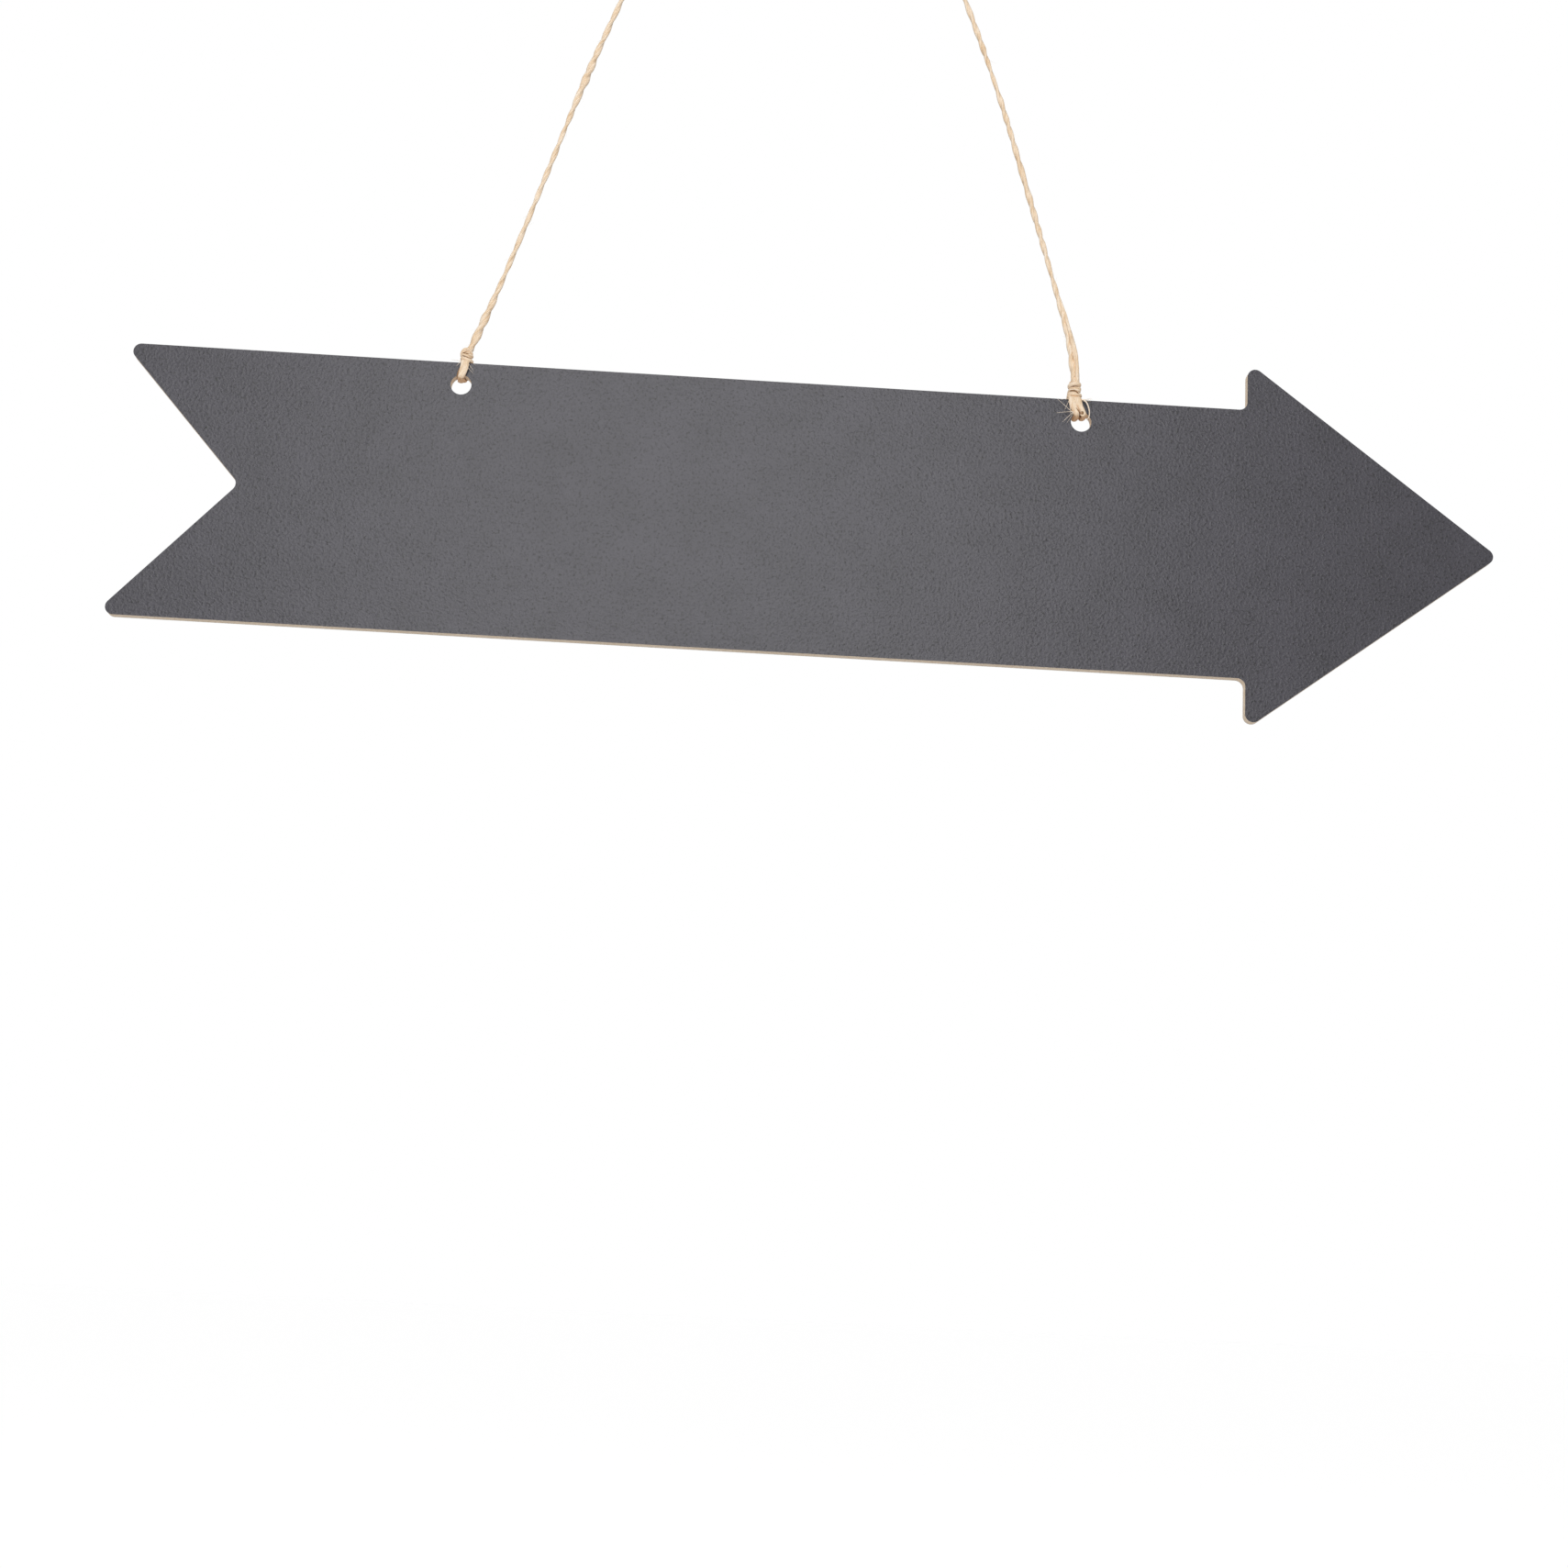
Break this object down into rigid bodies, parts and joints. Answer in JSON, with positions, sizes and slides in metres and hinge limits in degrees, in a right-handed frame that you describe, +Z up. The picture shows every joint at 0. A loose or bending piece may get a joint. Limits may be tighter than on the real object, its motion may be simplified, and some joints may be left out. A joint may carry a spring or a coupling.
{
  "type": "hanging arrow sign board",
  "caption": "Flat arrow-shaped chalkboard with a V-notched tail, hung from a loop of jute twine knotted through holes near its top edge.",
  "frame": {"origin": "underside of the twine loop's top, where it bears on a nail or peg, in the board's mid-plane", "axes": "+X towards the arrow tip, +Y from the front face to the back, +Z up"},
  "size_m": [0.3956, 0.0064, 0.2858],
  "materials": {
    "chalkboard": "matt black chalkboard paint on 3 mm fibreboard",
    "jute": "two-ply natural jute twine"
  },
  "bodies": {
    "root": {"board": "chalkboard", "twine": "jute", "left_knot": "jute", "right_knot": "jute"}
  },
  "joints": []
}
